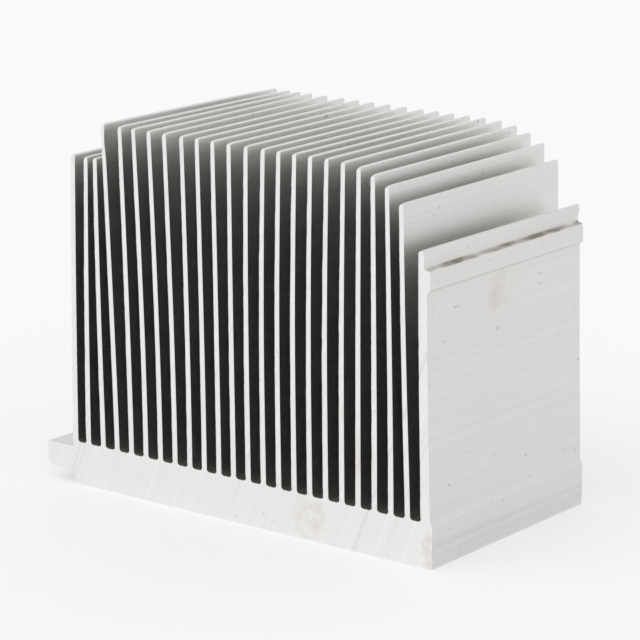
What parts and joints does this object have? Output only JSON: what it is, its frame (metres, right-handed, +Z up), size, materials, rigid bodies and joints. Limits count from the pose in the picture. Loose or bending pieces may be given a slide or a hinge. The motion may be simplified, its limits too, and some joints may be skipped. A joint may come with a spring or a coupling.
{
  "type": "extruded heat sink",
  "caption": "Extruded aluminium heat sink: thin leaning fins between two end walls on a thick base, with a shouldered outline and a side tongue.",
  "frame": {"origin": "middle of the underside of the bounding box, on the flat seat's plane", "axes": "+X across the fins towards the thick end wall, +Y along the extrusion, +Z up from the seat"},
  "size_m": [0.1022, 0.0546, 0.08],
  "materials": {
    "raw_aluminium": "satin extruded metal with sawn ends"
  },
  "bodies": {
    "root": {"heat_sink": "raw_aluminium"}
  },
  "joints": []
}
